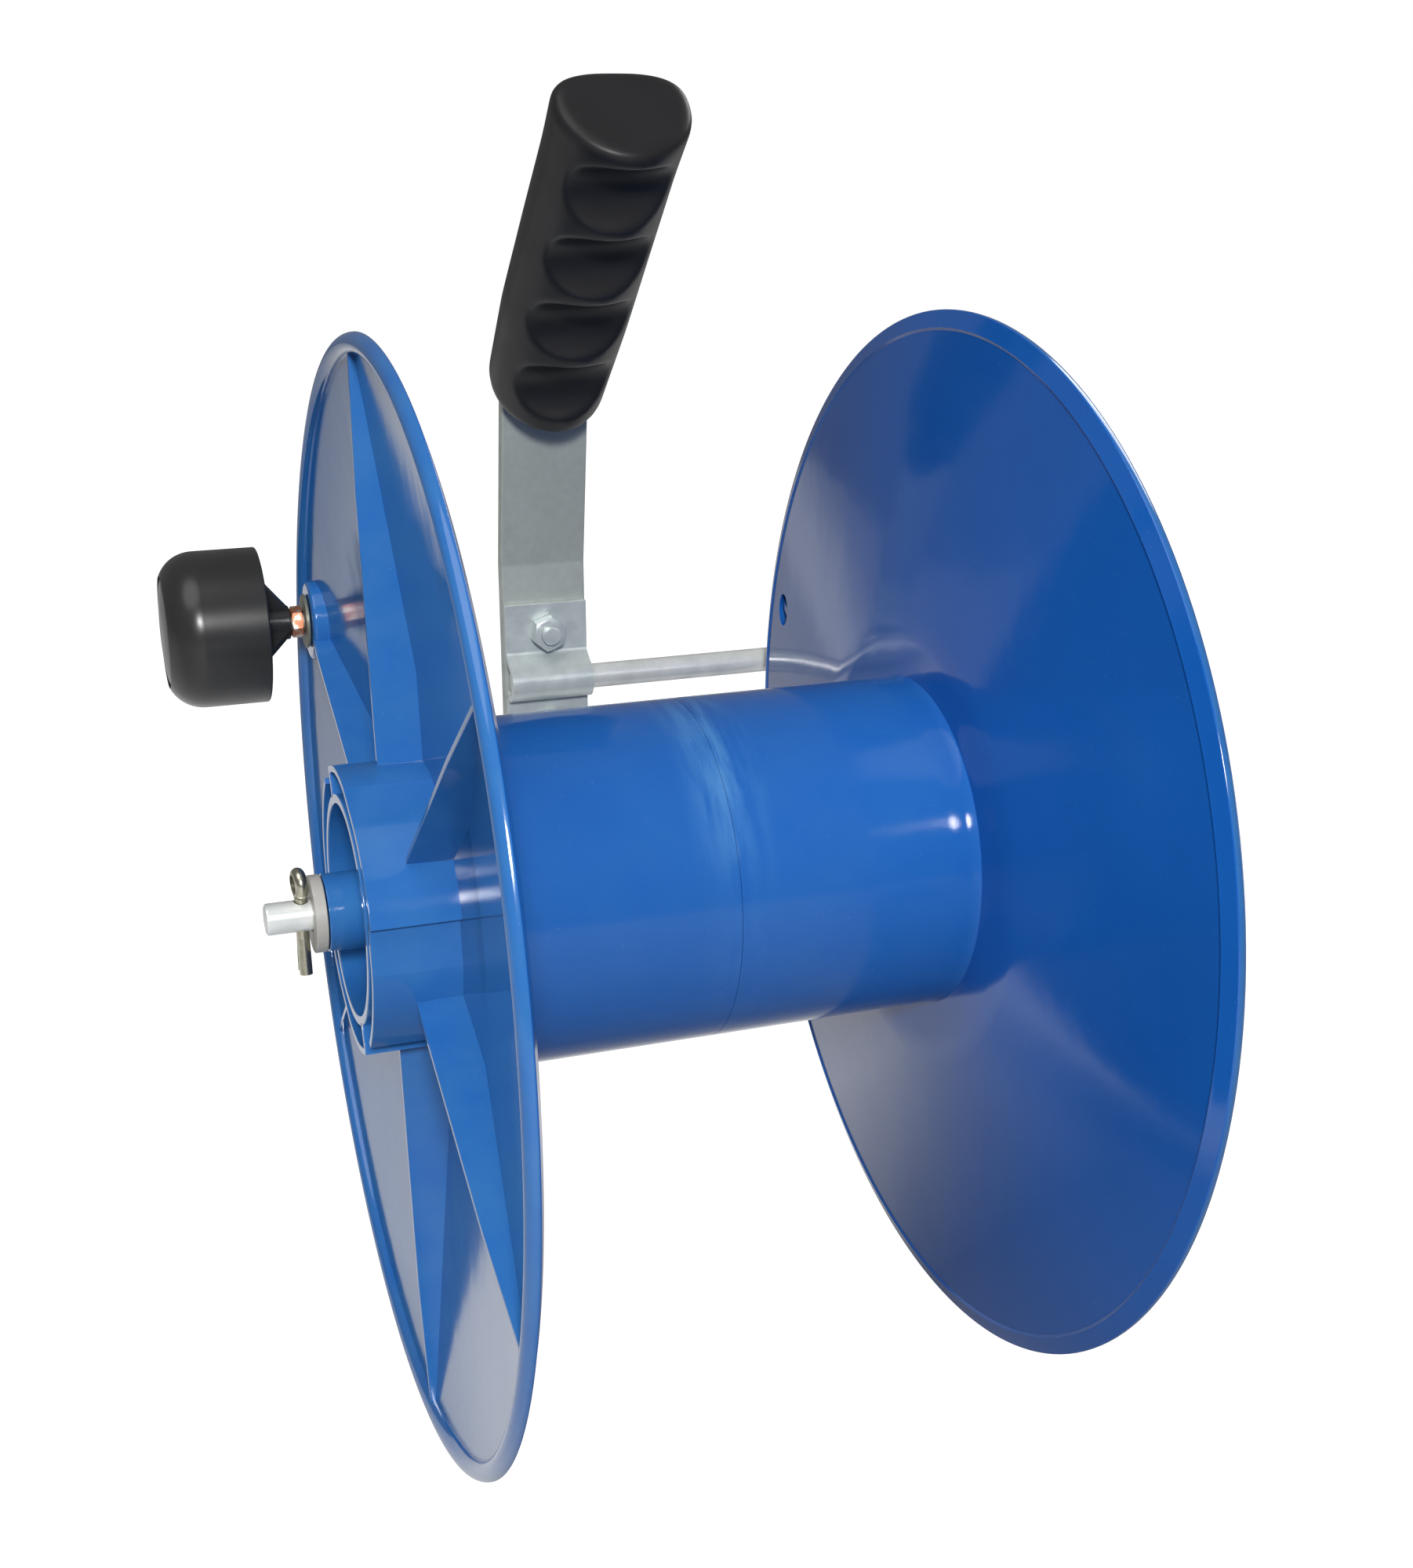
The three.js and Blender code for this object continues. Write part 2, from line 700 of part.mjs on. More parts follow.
function knobPieces() {
  const crank = sideGroup(-1);
  const place = polar(knobOrbit, -knobAngle);
  const lockEnd = lockNutFace + smallBolt.nut + gap;
  const ring = washer(smallWasherRadius, smallBolt.radius + gap, smallWasherThickness);
  const stack = [
    ['knob_bolt', bolt(smallBolt, lockEnd - pocketFloor), looks.zinc, pocketFloor],
    ['knob_fixing_washer', ring, looks.zinc, bossFace + gap],
    ['knob_fixing_nut', nut(smallBolt, smallBolt.nut), looks.copper, nutFace],
    ['knob_body', knobBody(), looks.knob, neckEnd],
    ['knob_lock_washer', ring.clone(), looks.zinc, wellFloor + gap],
    ['knob_lock_nut', nut(smallBolt, smallBolt.nut), looks.zinc, lockNutFace],
    ['knob_end_cap', knobEndCap(), looks.knob, knobEnd - knobCapThickness],
  ];
  for (const [name, shape, look, height] of stack) {
    crank.add(placed(piece(name, shape, look), ...place, height));
  }
  return [crank];
}

function axlePieces() {
  const pieces = [piece('frame_rod', frameRod(), looks.galvanised)];
  for (const [side, sign] of [['crank', -1], ['frame', 1]]) {
    const group = sideGroup(sign);
    const ring = washer(bearingRadius, boreRadius, washerThickness);
    group.add(placed(piece(`axle_washer_${side}`, ring, looks.nylon), 0, 0, washerFace));
    const pin = piece(`split_pin_${side}`, splitPin(), looks.yellowZinc);
    pieces.push(group, placed(pin, sign * pinHeight, 0, 0));
  }
  return pieces;
}

function handlePieces() {
  const edgeOn = sideGroup(1);
  edgeOn.position.x = strapCentre;
  edgeOn.add(piece('handle_strap', handleStrap(), looks.galvanised));
  edgeOn.add(piece('rod_clamp', rodClamp(), looks.zinc));
  const nutSeat = strapFace - gap - sheet - gap;
  const boltSeat = strapFace + strapThickness + gap;
  const length = boltSeat - nutSeat + clampBolt.nut + clampBolt.proud;
  for (const [place, side] of [['upper', 1], ['lower', -1]]) {
    const height = rodZ + side * clampBoltOffset;
    const screw = piece(`clamp_bolt_${place}`, bolt(clampBolt, length), looks.zinc);
    const hexNut = piece(`clamp_nut_${place}`, nut(clampBolt, clampBolt.nut), looks.zinc);
    for (const [mesh, seat] of [[screw, boltSeat], [hexNut, nutSeat]]) {
      mesh.rotation.y = -Math.PI / 2;
      edgeOn.add(placed(mesh, seat, height, 0));
    }
  }
  const neck = strapCorners()[2];
  const slope = gripSlope * degrees;
  const foot = [neck[0] - gripNeck * Math.sin(slope), neck[1] + gripNeck * Math.cos(slope)];
  const grip = placed(piece('hand_grip', handGrip(), looks.grip), strapCentre, ...foot);
  grip.rotation.x = slope;
  return [edgeOn, grip];
}

const reel = new THREE.Group();
reel.add(...axlePieces(), ...handlePieces(), ...spoolPieces(), ...knobPieces());
reel.position.x = axleEnd;
const part = new THREE.Group();
part.add(reel);

export default part;
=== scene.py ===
import json
import math

import bmesh
import bpy
from mathutils import Matrix, Vector

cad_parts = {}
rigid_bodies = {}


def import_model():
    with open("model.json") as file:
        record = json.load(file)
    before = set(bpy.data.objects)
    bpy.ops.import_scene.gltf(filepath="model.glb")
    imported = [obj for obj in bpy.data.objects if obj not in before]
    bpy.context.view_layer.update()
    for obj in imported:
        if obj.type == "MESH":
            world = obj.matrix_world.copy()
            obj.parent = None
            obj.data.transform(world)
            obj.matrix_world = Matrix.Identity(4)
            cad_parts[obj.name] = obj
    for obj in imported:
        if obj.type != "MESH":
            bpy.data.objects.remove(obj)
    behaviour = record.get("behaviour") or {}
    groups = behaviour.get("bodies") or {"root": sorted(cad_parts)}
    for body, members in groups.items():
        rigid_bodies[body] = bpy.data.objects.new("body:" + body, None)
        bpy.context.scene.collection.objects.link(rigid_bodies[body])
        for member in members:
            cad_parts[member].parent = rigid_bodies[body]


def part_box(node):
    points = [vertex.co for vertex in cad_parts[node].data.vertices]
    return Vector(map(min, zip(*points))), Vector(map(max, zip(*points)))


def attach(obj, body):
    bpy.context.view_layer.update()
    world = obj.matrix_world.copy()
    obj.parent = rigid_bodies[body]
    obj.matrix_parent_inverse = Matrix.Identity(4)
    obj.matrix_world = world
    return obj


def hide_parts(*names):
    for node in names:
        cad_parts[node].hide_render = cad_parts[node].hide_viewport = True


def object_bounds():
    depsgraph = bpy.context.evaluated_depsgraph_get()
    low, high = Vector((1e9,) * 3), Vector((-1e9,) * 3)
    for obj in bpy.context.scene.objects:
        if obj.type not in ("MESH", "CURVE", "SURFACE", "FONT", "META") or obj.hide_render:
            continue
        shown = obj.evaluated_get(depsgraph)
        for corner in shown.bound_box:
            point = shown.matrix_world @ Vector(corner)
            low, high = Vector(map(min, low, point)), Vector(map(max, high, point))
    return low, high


for leftover in list(bpy.data.objects):
    bpy.data.objects.remove(leftover)
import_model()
solids_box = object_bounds()

# The camera stands at arm's length on the crank side and looks down a little, so that the
# near flange is seen from outside, the far one from its winding side, and the handle behind.

lens = bpy.data.cameras.new("camera")
lens.sensor_fit = "VERTICAL"
lens.sensor_height = 36
lens.lens = 46.29
camera = bpy.data.objects.new("camera", lens)
camera.location = (-0.04874, -0.46718, 0.19237)
camera.rotation_euler = (math.pi / 2 - 0.3310, 0, -0.3368)
bpy.context.collection.objects.link(camera)
bpy.context.scene.camera = camera
bpy.context.scene.view_settings.view_transform = "Standard"

# Studio: a pale floor just under the spool's rims, a white room, and soft lamps overhead, in
# front, to the right and beside the camera. A Finish is a node tree and a Shade a socket in it.


class Shade:
    """A socket of a finish, written into sums as a number is."""

    def __init__(self, finish, socket):
        self.finish, self.socket = finish, socket

    def math(self, operation, *others):
        values = dict(enumerate((self, *others)))
        return self.finish.node("Math", {"operation": operation}, values)

    def __add__(self, other):
        return self.math("ADD", other)

    def __sub__(self, other):
        return self.math("SUBTRACT", other)

    def __rsub__(self, other):
        return self * -1 + other

    def __mul__(self, other):
        return self.math("MULTIPLY", other)

    def __lt__(self, other):
        return self.math("LESS_THAN", other)

    def __gt__(self, other):
        return self.math("GREATER_THAN", other)

    __radd__ = __add__
    __rmul__ = __mul__


class Finish:
    """The nodes of one material or of the world."""

    def __init__(self, owner, shader):
        owner.use_nodes = True
        self.owner = owner
        self.tree = owner.node_tree
        self.shader = self.tree.nodes[shader]

    def join(self, socket, value):
        if isinstance(value, Shade):
            self.tree.links.new(value.socket, socket)
        else:
            socket.default_value = value

    def node(self, kind, settings, inputs, output=0):
        node = self.tree.nodes.new("ShaderNode" + kind)
        for name, value in settings.items():
            if name == "stops":
                node.color_ramp.elements[1].position = value[-1][0]
                for position, _ in value[1:-1]:
                    node.color_ramp.elements.new(position)
                for stop, (position, level) in zip(node.color_ramp.elements, value):
                    stop.position, stop.color = position, (level, level, level, 1)
            else:
                setattr(node, name, value)
        for name, value in inputs.items():
            self.join(node.inputs[name], value)
        return Shade(self, node.outputs[output])

    def set(self, sockets):
        for name, value in sockets.items():
            self.join(self.shader.inputs[name], value)

    def mix(self, amount, first, second):
        return self.node("Mix", {"data_type": "RGBA"}, {0: amount, 6: first, 7: second}, 2)

    def ramp(self, level, *stops):
        return self.node("ValToRGB", {"stops": stops}, {"Fac": level})

    def noise(self, scale, detail=2.0, stretch=(1, 1, 1)):
        place = self.node("TexCoord", {}, {}, "Object")
        place = self.node("Mapping", {}, {"Vector": place, "Scale": stretch})
        return self.node("TexNoise", {}, {"Vector": place, "Scale": scale, "Detail": detail})

    def bump(self, height, depth):
        self.set({"Normal": self.node("Bump", {}, {"Height": height, "Distance": depth})})

    def seen(self, gloss):
        """1 where it is seen straight or through glass, and a share of that in reflections."""
        rays = ("Is Camera Ray", "Is Transmission Ray", "Is Glossy Ray")
        straight, through, mirrored = (self.node("LightPath", {}, {}, ray) for ray in rays)
        return straight + through + mirrored * gloss


def new_finish(name):
    return Finish(bpy.data.materials.new(name), "Principled BSDF")


def grey(level):
    return (level, level, level, 1)


# White where it is seen. In mirrors it is painted light: dim below the spool as a painted shadow,
# and brighter behind and left of it as a painted glow
paper = new_finish("white_floor")
place = paper.node("TexCoord", {}, {}, "Object")
to_right, behind = (paper.node("SeparateXYZ", {}, {"Vector": place}, axis) for axis in "XY")
left_edge = 0.05
mirrored_behind = paper.ramp(behind, (0, 0), (0.12, 0.65), (0.35, 0.45), (0.7, 0.3))
mirrored_left = paper.ramp(left_edge - to_right, (0, 0), (0.03, 0.7), (0.10, 0.7), (0.3, 0.3))
mirrored = mirrored_behind.math("MAXIMUM", mirrored_left)
paper.set({
    "Base Color": grey(0.35),
    "Roughness": 0.9,
    "Emission Color": paper.mix(paper.seen(mirrored), grey(0), grey(0.95)),
    "Emission Strength": 1,
})
floor_reach, floor_gap = 2, 0.0006
sheet = bmesh.new()
bmesh.ops.create_grid(sheet, x_segments=1, y_segments=1, size=floor_reach)
bmesh.ops.translate(sheet, vec=(0, 0, solids_box[0][2] - floor_gap), verts=sheet.verts)
floor_mesh = bpy.data.meshes.new("floor")
sheet.to_mesh(floor_mesh)
sheet.free()
floor_mesh.materials.append(paper.owner)
floor = bpy.data.objects.new("floor", floor_mesh)
bpy.context.collection.objects.link(floor)

room = Finish(bpy.data.worlds.new("white_room"), "Background")
bpy.context.scene.world = room.owner
room.set({"Color": room.mix(room.seen(0.04), grey(0.15), grey(1)), "Strength": 1})


def lamp(name, size, power, place, aim):
    """A round soft lamp with its face towards aim."""
    light = bpy.data.lights.new(name, "AREA")
    light.shape, light.size, light.energy = "DISK", size, power
    body = bpy.data.objects.new(name, light)
    body.location = place
    body.rotation_euler = (Vector(place) - Vector(aim)).to_track_quat("Z", "Y").to_euler()
    bpy.context.collection.objects.link(body)


reel_middle = (Vector(solids_box[0]) + Vector(solids_box[1])) / 2
lamp("overhead", 1.2, 8.5, (-0.5, -0.35, 1.35), reel_middle)
lamp("front", 0.2, 15, (-0.2, -1.2, 0.66), reel_middle)
lamp("right", 0.8, 8, (1.3, 0.7, 0.9), reel_middle)
lamp("beside_camera", 0.07, 0.35, (-0.03, -0.56, 0.30), reel_middle)

# Axle and side frame: one 8 mm galvanised steel rod, bent twice. Its first leg is the axle,
# drilled for the two split pins, and its last leg is what the handle's strap is clamped to.


def span(node):
    """A solid's lowest and highest corner in millimetres, in which every piece is drawn."""
    return [[1000 * value for value in corner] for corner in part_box(node)]


def middle(node):
    low, high = span(node)
    return [(a + b) / 2 for a, b in zip(low, high)]


def only(kind, geometry):
    return [item for item in geometry if isinstance(item, kind)]


def draw_on(bm, end, step):
    """Carries an open end straight on by a step, and gives the new end."""
    grown = bmesh.ops.extrude_edge_only(bm, edges=end)["geom"]
    corners = only(bmesh.types.BMVert, grown)
    bmesh.ops.translate(bm, vec=step, verts=corners)
    return [e for e in only(bmesh.types.BMEdge, grown) if set(e.verts) <= set(corners)]


def bend_on(bm, end, centre, axis, angle, steps):
    """Carries an open end on round a bend, and gives the new end."""
    corners = list({corner for edge in end for corner in edge.verts})
    grown = bmesh.ops.spin(
        bm, geom=corners + end, cent=centre, axis=axis, dvec=(0, 0, 0),
        angle=math.radians(angle), steps=steps, use_merge=False,
    )
    return only(bmesh.types.BMEdge, grown["geom_last"])


def close_ends(bm):
    bmesh.ops.holes_fill(bm, edges=[e for e in bm.edges if e.is_boundary], sides=0)


def soften(bm, edges, radius, segments=2):
    """Breaks sharp edges with a small round."""
    bmesh.ops.bevel(
        bm, geom=edges, offset=radius, offset_type="OFFSET", affect="EDGES",
        segments=segments, profile=0.5, material=-1, clamp_overlap=True,
    )


def sharp_edges(bm, angle=40):
    return [e for e in bm.edges if e.calc_face_angle(0) > math.radians(angle)]


def tidy(bm):
    """Merges doubled points and turns every face outwards."""
    bmesh.ops.remove_doubles(bm, verts=bm.verts, dist=0.002)
    bmesh.ops.recalc_face_normals(bm, faces=bm.faces)


def stock(bm, name="stock"):
    """A mesh as an object, as it is."""
    mesh = bpy.data.meshes.new(name)
    bm.to_mesh(mesh)
    bm.free()
    thing = bpy.data.objects.new(name, mesh)
    bpy.context.collection.objects.link(thing)
    return thing


def worked(bm, *modifiers):
    """A mesh after modifiers, each given as its kind and settings."""
    block = stock(bm)
    for kind, settings in modifiers:
        modifier = block.modifiers.new(kind, kind)
        for name, value in settings.items():
            setattr(modifier, name, value)
    done = bmesh.new()
    done.from_object(block, bpy.context.evaluated_depsgraph_get())
    bpy.data.objects.remove(block)
    return done


def carved(bm, cutter):
    """A mesh with a cutter's shape taken out."""
    tidy(cutter)
    tidy(bm)
    tool = stock(cutter)
    done = worked(bm, ("BOOLEAN", {"operation": "DIFFERENCE", "solver": "EXACT", "object": tool}))
    bpy.data.objects.remove(tool)
    return done


def joined(*shells):
    whole = bmesh.new()
    for shell in shells:
        part = bpy.data.meshes.new("part")
        shell.to_mesh(part)
        shell.free()
        whole.from_mesh(part)
        bpy.data.meshes.remove(part)
    return whole


def finished(bm, name, finish, body, crease=35):
    """Makes a drawn mesh the piece that stands for the solid of the same name."""
    tidy(bm)
    bmesh.ops.scale(bm, vec=(0.001, 0.001, 0.001), verts=bm.verts)
    piece = stock(bm, "piece_" + name)
    piece.data.shade_smooth()
    piece.data.set_sharp_from_angle(angle=math.radians(crease))
    evened = piece.modifiers.new("evened", "WEIGHTED_NORMAL")
    evened.keep_sharp = True
    piece.data.materials.append(finish.owner)
    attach(piece, body)
    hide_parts(name)
    return piece


def rod():
    low, high = span("frame_rod")
    radius, turn, end_inset, end_round = -low[2], 17, 1.2, 0.7
    reach_y, reach_z = high[1] - radius, high[2] - radius
    reach = math.hypot(reach_y, reach_z)
    along = Vector((0, reach_y / reach, reach_z / reach))
    across = Vector((1, 0, 0)).cross(along)
    arm_x = high[0] - radius
    rod_end = span("handle_strap")[0][0] + end_inset
    bm = bmesh.new()
    bmesh.ops.create_circle(bm, segments=40, radius=radius)
    bmesh.ops.rotate(bm, verts=bm.verts, matrix=Matrix.Rotation(math.pi / 2, 3, "Y"))
    end = draw_on(bm, bm.edges[:], (arm_x - turn, 0, 0))
    end = bend_on(bm, end, Vector((arm_x - turn, 0, 0)) + turn * along, across, 90, 20)
    end = draw_on(bm, end, (reach - 2 * turn) * along)
    corner = Vector((arm_x, 0, 0)) + (reach - turn) * along
    end = bend_on(bm, end, corner - Vector((turn, 0, 0)), across, 90, 20)
    draw_on(bm, end, (rod_end - arm_x + turn, 0, 0))
    close_ends(bm)
    soften(bm, sharp_edges(bm), end_round)
    return bm


def pin_holes():
    radius, depth = 1.9, 12
    holes = bmesh.new()
    for side in ("crank", "frame"):
        place = Matrix.Translation((middle("split_pin_" + side)[0], 0, 0))
        bmesh.ops.create_cone(
            holes, cap_ends=True, segments=24, radius1=radius, radius2=radius, depth=depth,
            matrix=place,
        )
    return holes


galvanised = new_finish("galvanised_steel")
spangle = galvanised.noise(90, 3) * 0.6 + galvanised.noise(420, 2) * 0.4
galvanised.set({
    "Base Color": galvanised.mix(spangle, (0.32, 0.36, 0.33, 1), (0.62, 0.66, 0.61, 1)),
    "Metallic": 0.45,
    "Roughness": galvanised.ramp(spangle, (0.3, 0.55), (0.7, 0.42)),
})
galvanised.bump(spangle, 0.00006)

bright = new_finish("bright_galvanised_steel")
dents = bright.noise(120, 2)
spots = bright.ramp(bright.noise(140, 3), (0.35, 0), (0.65, 1))
bright.set({
    "Base Color": bright.mix(spots, (0.66, 0.68, 0.66, 1), (0.80, 0.82, 0.80, 1)),
    "Metallic": 0.35,
    "Roughness": bright.ramp(spots, (0, 0.38), (1, 0.28)),
})
bright.bump(dents, 0.00006)
finished(carved(rod(), pin_holes()), "frame_rod", bright, "frame")

# Handle strap: 27.6 x 5 mm galvanised flat bar, cut to length and bent twice, first to lean
# towards the reel and then to the slope of the grip. Its upper end is the tang in the grip.

strap_low, strap_high = span("handle_strap")
strap_thickness = 5
strap_start = middle("handle_strap")[0], strap_high[1] - strap_thickness / 2, strap_low[2]
lean, grip_slope = 9, 46
upright, leaning, tang = 68, 55.5, 105.7


def strap():
    width, turn, edge_round = strap_high[0] - strap_low[0], 12, 0.6
    bm = bmesh.new()
    bmesh.ops.create_grid(bm, x_segments=1, y_segments=1, size=0.5)
    bmesh.ops.scale(bm, vec=(width, strap_thickness, 1), verts=bm.verts)
    bmesh.ops.translate(bm, vec=strap_start, verts=bm.verts)
    place, heading = Vector(strap_start), Vector((0, 0, 1))
    end, spent = bm.edges[:], 0
    for angle, length in ((lean, upright), (grip_slope - lean, leaning), (0, tang)):
        setback = turn * math.tan(math.radians(angle / 2))
        end = draw_on(bm, end, (length - spent - setback) * heading)
        place += (length - spent - setback) * heading
        if angle:
            inward = Vector((1, 0, 0)).cross(heading)
            end = bend_on(bm, end, place + turn * inward, (1, 0, 0), angle, 10)
            bent = Matrix.Rotation(math.radians(angle), 3, "X") @ heading
            place += setback * (heading + bent)
            heading, spent = bent, setback
    close_ends(bm)
    tidy(bm)
    soften(bm, sharp_edges(bm), edge_round, 3)
    return bm


finished(strap(), "handle_strap", galvanised, "frame")

# Saddle clamp: a strip of 2 mm zinc-plated steel pressed over the rod, tight below it and
# slanting off its crown above it. Two bolts through its flanges hold it against the strap.


def saddle():
    low, high = span("rod_clamp")
    rod_radius, clearance, gauge = 4, 0.3, 2
    rod_y, rod_z = (value - rod_radius for value in span("frame_rod")[1][1:])
    shoulder, crown = 8, 110
    heel_round, shoulder_round, edge_round = 0.9, 1.6, 0.5
    mean = rod_radius + clearance + gauge / 2
    plane = high[1] - gauge / 2
    meet = math.degrees(math.acos((plane - rod_y) / mean))
    bm = bmesh.new()
    foot = bm.verts.new((low[0], plane, low[2]))
    heel = bm.verts.new((low[0], plane, rod_z - mean * math.sin(math.radians(meet))))
    bm.edges.new((foot, heel))
    arc = bmesh.ops.spin(
        bm, geom=[heel], cent=(low[0], rod_y, rod_z), axis=(1, 0, 0), dvec=(0, 0, 0),
        angle=-math.radians(360 - meet - crown), steps=28, use_merge=False,
    )
    top = only(bmesh.types.BMVert, arc["geom_last"])[0]
    shoulder_point = bm.verts.new((low[0], plane, rod_z + shoulder))
    tip = bm.verts.new((low[0], plane, high[2]))
    bm.edges.new((top, shoulder_point))
    bm.edges.new((shoulder_point, tip))
    for corner, radius in ((heel, heel_round), (shoulder_point, shoulder_round)):
        bmesh.ops.bevel(
            bm, geom=[corner], offset=radius, offset_type="OFFSET", affect="VERTICES",
            segments=4, profile=0.5, material=-1,
        )
    draw_on(bm, bm.edges[:], (high[0] - low[0], 0, 0))
    tidy(bm)
    thick = {"thickness": gauge, "offset": 0, "use_even_offset": True}
    done = worked(bm, ("SOLIDIFY", thick))
    tidy(done)
    soften(done, sharp_edges(done, 60), edge_round, 3)
    return done


zinc = new_finish("zinc_steel")
haze = zinc.noise(260, 3)
drawn = zinc.noise(700, 2, (0.08, 1, 1))
zinc.set({
    "Base Color": zinc.mix(haze, (0.50, 0.56, 0.56, 1), (0.72, 0.77, 0.75, 1)),
    "Metallic": 0.4,
    "Roughness": zinc.ramp(haze * 0.5 + drawn * 0.5, (0.3, 0.28), (0.7, 0.40)),
})
zinc.bump(drawn, 0.00003)
finished(saddle(), "rod_clamp", zinc, "frame")

# Clamp bolts: two M6 zinc-plated hexagon bolts from behind the strap, each with a nut on the
# clamp. Heads and nuts are turned blanks with chamfered faces and six flats.


def turned(outline, steps=48, radius_steps=4):
    """An outline of (radius, height) turned about Z. A third number rounds that corner."""
    bm = bmesh.new()
    corners = [bm.verts.new((radius, 0, height)) for radius, height, *_ in outline]
    for pair in zip(corners, corners[1:]):
        bm.edges.new(pair)
    if outline[0][0] or outline[-1][0]:
        bm.edges.new((corners[-1], corners[0]))
    for corner, (_, _, *rounding) in zip(corners, outline):
        if rounding:
            bmesh.ops.bevel(
                bm, geom=[corner], offset=rounding[0], offset_type="OFFSET",
                affect="VERTICES", segments=radius_steps, profile=0.5, material=-1,
            )
    bmesh.ops.spin(
        bm, geom=bm.verts[:] + bm.edges[:], cent=(0, 0, 0), axis=(0, 0, 1), dvec=(0, 0, 0),
        angle=2 * math.pi, steps=steps, use_merge=True,
    )
    tidy(bm)
    return bm


def hexagon(flats, low, high, bore=0.0):
    """A hexagon head, or a nut where it has a bore, between two heights on Z."""
    corner, face, chamfer = flats / math.sqrt(3), 0.475 * flats, 30
    drop = (corner - face) * math.tan(math.radians(chamfer))
    outline = [(face, low), (corner, low + drop), (corner, high - drop), (face, high)]
    if bore:
        lead = 0.35
        inside = [(bore + lead, high), (bore, high - lead), (bore, low + lead), (bore + lead, low)]
        bm = turned(outline + inside, steps=96)
    else:
        bm = turned([(0, low)] + outline + [(0, high)], steps=96)
    for side in range(6):
        out = Vector((math.cos(side * math.pi / 3), math.sin(side * math.pi / 3), 0))
        cut = bmesh.ops.bisect_plane(
            bm, geom=bm.verts[:] + bm.edges[:] + bm.faces[:], dist=0.0001,
            plane_co=out * flats / 2, plane_no=out, clear_outer=True,
        )
        bmesh.ops.edgeloop_fill(bm, edges=only(bmesh.types.BMEdge, cut["geom_cut"]))
    tidy(bm)
    return bm


def shank(radius, low, high, thread, pitch):
    """A bolt's round shank with its thread as ring grooves towards its end, on Z."""
    depth = 0.45 * pitch
    outline = [(0, low), (radius, low)]
    height = high - thread
    while height + pitch < high - depth:
        outline += [(radius, height), (radius - depth, height + pitch / 2)]
        height += pitch
    outline += [(radius, height), (radius, high - depth), (radius - depth, high), (0, high)]
    return turned(outline, steps=32)


def hexagon_bolt(size, length, thread):
    """A bolt along Z from its head's top, with its thread's length."""
    inside_head = 2
    head = hexagon(size["flats"], 0, size["head"])
    return joined(head, shank(size["radius"], inside_head, length, thread, size["pitch"]))


def hexagon_nut(size, height):
    return hexagon(size["flats"], 0, height, size["bore"])


def laid(bm, axis, place, roll=0.0):
    """A piece drawn along Z, rolled about Z, turned to another axis and put in its place."""
    bmesh.ops.rotate(bm, verts=bm.verts, matrix=Matrix.Rotation(math.radians(roll), 3, "Z"))
    turn = Vector(axis).to_track_quat("Z", "X").to_matrix()
    bmesh.ops.rotate(bm, verts=bm.verts, matrix=turn)
    bmesh.ops.translate(bm, vec=place, verts=bm.verts)
    return bm


M6 = {"flats": 10, "head": 4, "radius": 3, "pitch": 1, "bore": 2.8}
for which, bolt_roll, nut_roll in (("upper", 200, 20), ("lower", 40, 4)):
    low, high = span("clamp_bolt_" + which)
    x, _, z = middle("clamp_bolt_" + which)
    bolt = laid(hexagon_bolt(M6, high[1] - low[1], 9), (0, -1, 0), (x, high[1], z), bolt_roll)
    finished(bolt, "clamp_bolt_" + which, zinc, "frame")
    low, high = span("clamp_nut_" + which)
    x, _, z = middle("clamp_nut_" + which)
    nut = laid(hexagon_nut(M6, high[1] - low[1]), (0, -1, 0), (x, high[1], z), nut_roll)
    finished(nut, "clamp_nut_" + which, zinc, "frame")

# Hand grip: a moulded bar of black plastic with four finger scoops on its underside, driven
# on to the strap's tang. Its section is fuller towards the palm than towards the fingers.


